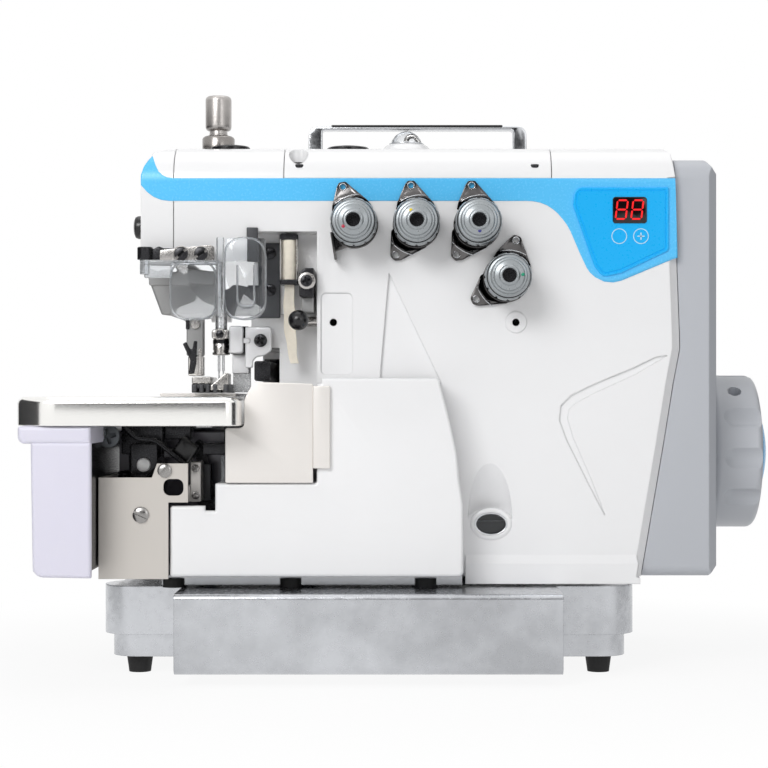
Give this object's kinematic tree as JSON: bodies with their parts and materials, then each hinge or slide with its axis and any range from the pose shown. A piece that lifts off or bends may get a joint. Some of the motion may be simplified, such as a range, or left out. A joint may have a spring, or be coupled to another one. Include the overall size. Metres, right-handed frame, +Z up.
{
  "type": "overlock sewing machine",
  "caption": "Industrial overlock sewing machine head on a cast oil pan, with handwheel, tension knobs, eye guard, swing-out cloth plate and opening front cover.",
  "frame": {"origin": "on the table plane under the middle of the machine, between its four rubber feet", "axes": "+Z up, -Y to the operator (front), +X along the main shaft towards the handwheel"},
  "size_m": [0.45, 0.3, 0.3524],
  "materials": {
    "white_enamel": "gloss",
    "cast_aluminium": "satin",
    "rubber_black": "matte",
    "grey_paint": "satin",
    "chrome": "polished",
    "clear_plastic": "gloss",
    "black_oxide": "satin",
    "nickel": "satin",
    "ground_steel": "satin",
    "copper_winding": "satin",
    "wheel_grey": "satin",
    "blue_trim": "gloss",
    "panel_blue": "satin",
    "display_black": "gloss",
    "knob_grey": "satin",
    "felt": "matte",
    "white_plastic": "gloss",
    "chute_plastic": "satin",
    "iron_grey": "satin",
    "black_plastic": "gloss"
  },
  "bodies": {
    "machine": {"base_pan": "cast_aluminium", "rubber_feet": "rubber_black", "base_cushions": "rubber_black", "main_frame": "white_enamel", "face_cover": "white_enamel", "top_cover": "white_plastic", "carry_handle": "chrome", "oil_sight_base": "white_plastic", "oil_sight_dome": "clear_plastic", "oil_plugs": "black_plastic", "black_screws": "black_oxide", "bright_screws": "chrome", "motor_cover": "grey_paint", "motor_stator": "copper_winding", "shaft_bearings": "ground_steel", "control_panel": "panel_blue", "display_window": "display_black", "oil_window": "display_black", "tension_studs": "chrome", "tension_brackets": "black_oxide", "head_plate": "black_oxide", "felt_holder": "black_oxide", "felt_wick": "felt", "guide_bracket": "black_oxide", "guard_bracket": "black_oxide", "pressure_lock_nut": "nickel", "lower_knife": "ground_steel", "throat_plate": "ground_steel", "looper_bracket": "black_oxide", "looper_thread_guide": "nickel", "knife_holder": "black_oxide", "side_cover": "nickel"},
    "drive_line": {"main_shaft": "ground_steel", "motor_rotor": "iron_grey", "handwheel": "wheel_grey", "handwheel_disc": "blue_trim"},
    "needle_rock": {"needle_rocker": "iron_grey"},
    "needle_assembly": {"needle_bar": "ground_steel", "needle_clamp": "nickel", "needles": "ground_steel"},
    "presser": {"presser_arm": "iron_grey", "presser_foot": "nickel"},
    "pressure_screw": {"pressure_knob": "nickel"},
    "knife_assembly": {"knife_arm": "nickel", "knife_screw": "black_oxide", "upper_knife": "ground_steel"},
    "lower_looper_arm": {"lower_looper": "black_oxide"},
    "upper_looper_arm": {"upper_looper": "black_oxide"},
    "main_feed": {"main_feed_dog": "ground_steel"},
    "differential_feed": {"differential_feed_dog": "ground_steel"},
    "guard": {"eye_guard": "clear_plastic"},
    "opening_cover": {"front_cover": "white_plastic", "fabric_plate": "nickel"},
    "swing_plate": {"cloth_plate": "chrome", "chute_cover": "chute_plastic"},
    "release": {"release_lever": "black_plastic"},
    "knob_1": {"tension_knob_1": "knob_grey"},
    "knob_2": {"tension_knob_2": "knob_grey"},
    "knob_3": {"tension_knob_3": "knob_grey"},
    "knob_4": {"tension_knob_4": "knob_grey"}
  },
  "joints": [
    {"name": "handwheel_spin", "type": "hinge", "parent": "machine", "child": "drive_line", "pos_m": [0, 0, 0.1302], "axis": [1, 0, 0], "continuous": true},
    {"name": "needle_bar_slide", "type": "slide", "parent": "machine", "child": "needle_assembly", "axis": [0, 0, 1], "range_m": [-0.013, 0.0095]},
    {"name": "needle_rocker_swing", "type": "hinge", "parent": "machine", "child": "needle_rock", "pos_m": [0, 0, 0.282], "axis": [1, 0, 0], "range_deg": [-8.78, 12.01]},
    {"name": "presser_lift", "type": "hinge", "parent": "machine", "child": "presser", "pos_m": [-0.128, 0.052, 0.222], "axis": [-1, 0, 0], "range_deg": [0, 2.6]},
    {"name": "pressure_knob_turn", "type": "hinge", "parent": "machine", "child": "pressure_screw", "pos_m": [-0.12, -0.02, 0.33], "axis": [0, 0, 1], "continuous": true},
    {"name": "knife_swing", "type": "hinge", "parent": "machine", "child": "knife_assembly", "pos_m": [-0.088, 0.018, 0.18], "axis": [1, 0, 0], "range_deg": [-2.72, 3.72]},
    {"name": "lower_looper_swing", "type": "hinge", "parent": "machine", "child": "lower_looper_arm", "pos_m": [-0.122, -0.04, 0.092], "axis": [0, 1, 0], "range_deg": [-6.7, 4.9]},
    {"name": "upper_looper_swing", "type": "hinge", "parent": "machine", "child": "upper_looper_arm", "pos_m": [-0.093, -0.04, 0.104], "axis": [0, 1, 0], "range_deg": [-4.9, 6.7]},
    {"name": "main_feed_slide", "type": "slide", "parent": "machine", "child": "main_feed", "axis": [0, 1, 0], "range_m": [-0.0015, 0.0015]},
    {"name": "differential_feed_slide", "type": "slide", "parent": "machine", "child": "differential_feed", "axis": [0, 1, 0], "range_m": [-0.0015, 0.0015]},
    {"name": "eye_guard_swing", "type": "hinge", "parent": "machine", "child": "guard", "pos_m": [-0.1557, -0.099, 0.24], "axis": [0, 0, 1], "range_deg": [-95, 0]},
    {"name": "front_cover_open", "type": "hinge", "parent": "machine", "child": "opening_cover", "pos_m": [0, -0.112, 0.063], "axis": [1, 0, 0], "range_deg": [0, 80]},
    {"name": "cloth_plate_swing", "type": "hinge", "parent": "machine", "child": "swing_plate", "pos_m": [-0.205, 0.048, 0.14], "axis": [0, 0, 1], "range_deg": [-75, 0]},
    {"name": "release_lever_turn", "type": "hinge", "parent": "machine", "child": "release", "pos_m": [-0.066, -0.074, 0.2094], "axis": [1, 0, 0], "range_deg": [0, 20]},
    {"name": "tension_knob_1_turn", "type": "hinge", "parent": "machine", "child": "knob_1", "pos_m": [-0.0333, -0.11, 0.2657], "axis": [0, 1, 0], "continuous": true},
    {"name": "tension_knob_2_turn", "type": "hinge", "parent": "machine", "child": "knob_2", "pos_m": [0.0031, -0.11, 0.2657], "axis": [0, 1, 0], "continuous": true},
    {"name": "tension_knob_3_turn", "type": "hinge", "parent": "machine", "child": "knob_3", "pos_m": [0.0389, -0.11, 0.2657], "axis": [0, 1, 0], "continuous": true},
    {"name": "tension_knob_4_turn", "type": "hinge", "parent": "machine", "child": "knob_4", "pos_m": [0.0561, -0.11, 0.2339], "axis": [0, 1, 0], "continuous": true}
  ],
  "couplings": [
    {"joint": "needle_rocker_swing", "follows": "needle_bar_slide", "rad_per_m": -16.129},
    {"joint": "knife_swing", "follows": "needle_bar_slide", "rad_per_m": -5},
    {"joint": "lower_looper_swing", "follows": "needle_bar_slide", "rad_per_m": 9},
    {"joint": "upper_looper_swing", "follows": "needle_bar_slide", "rad_per_m": -9},
    {"joint": "differential_feed_slide", "follows": "main_feed_slide", "ratio": 1}
  ]
}
